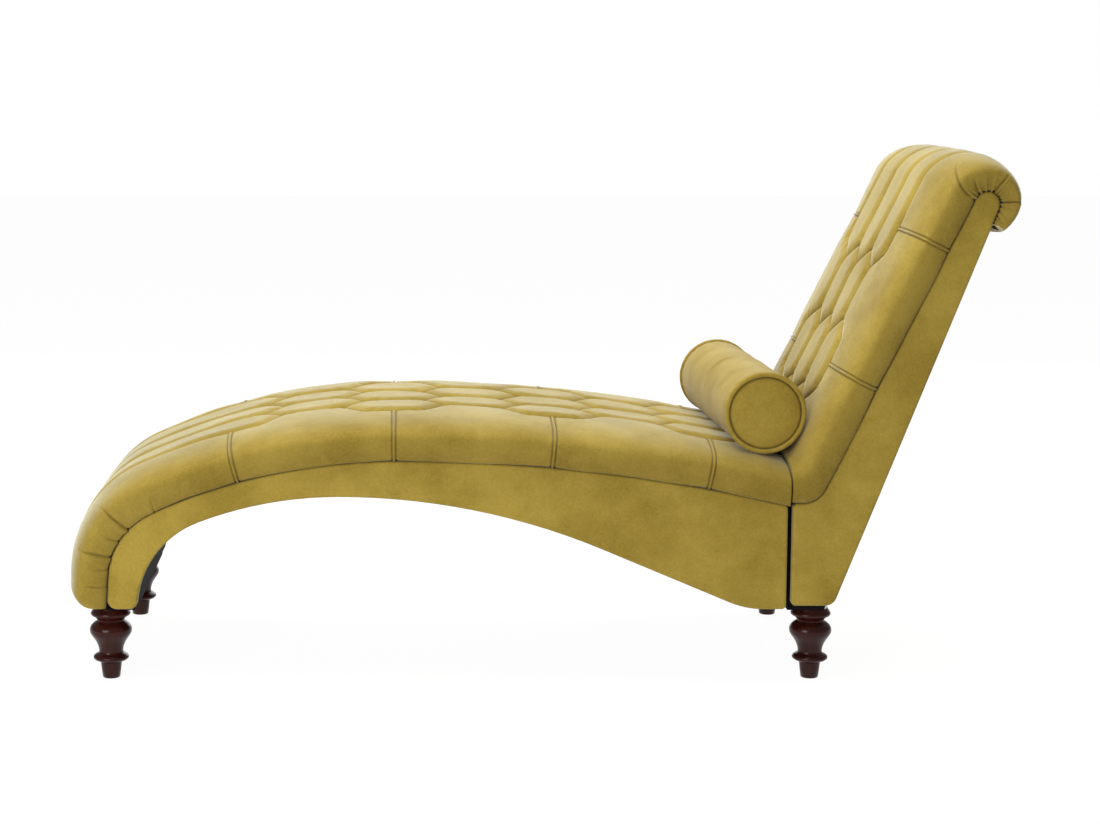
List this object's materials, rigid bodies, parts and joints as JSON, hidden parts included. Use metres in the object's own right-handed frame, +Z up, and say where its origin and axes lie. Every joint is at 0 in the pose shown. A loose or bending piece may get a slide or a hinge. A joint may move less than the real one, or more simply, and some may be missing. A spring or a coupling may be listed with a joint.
{
  "type": "chaise longue",
  "caption": "Upholstered chaise longue with an arched seat, raked back with rolled top, tufted pads, turned wooden legs and a loose bolster.",
  "frame": {"origin": "on the floor, in the middle of the whole object's length and width", "axes": "+X from the foot end towards the back, +Y from the near side to the far side, +Z up"},
  "size_m": [1.5836, 0.5848, 0.8828],
  "materials": {
    "velvet": "mustard velvet",
    "piping": "mustard velvet cord",
    "filling": "polyester wadding",
    "black_cloth": "non-woven black dust cloth",
    "mahogany": "dark mahogany, gloss lacquer",
    "plywood": "bare plywood",
    "timber": "planed softwood",
    "zinc_steel": "zinc plated"
  },
  "bodies": {
    "chaise": {"back_corner_block_far": "timber", "back_corner_block_near": "timber", "back_deck": "plywood", "back_dust_cover": "black_cloth", "back_joint_rail": "timber", "back_lower_rail": "timber", "back_pad": "velvet", "back_rear_panel": "velvet", "back_roll_rail": "timber", "back_side_frame_far": "timber", "back_side_frame_near": "timber", "back_side_panel_far": "velvet", "back_side_panel_near": "velvet", "back_upper_rail": "timber", "leg_bolts": "zinc_steel", "leg_nut_plates": "zinc_steel", "module_bolts": "zinc_steel", "module_nut_plates": "zinc_steel", "seat_corner_block_far": "timber", "seat_corner_block_near": "timber", "seat_deck": "plywood", "seat_dust_cover": "black_cloth", "seat_foot_rail": "timber", "seat_front_rail": "timber", "seat_joint_rail": "timber", "seat_middle_rail": "timber", "seat_pad": "velvet", "seat_rear_rail": "timber", "seat_side_frame_far": "timber", "seat_side_frame_near": "timber", "seat_side_panel_far": "velvet", "seat_side_panel_near": "velvet", "turned_legs": "mahogany"},
    "bolster": {"bolster_cover": "velvet", "bolster_ends": "velvet", "bolster_filling": "filling", "bolster_piping": "piping"}
  },
  "joints": [
    {"name": "bolster_lift", "type": "slide", "parent": "chaise", "child": "bolster", "axis": [0, 0, 1], "range_m": [0, 0.45]}
  ]
}
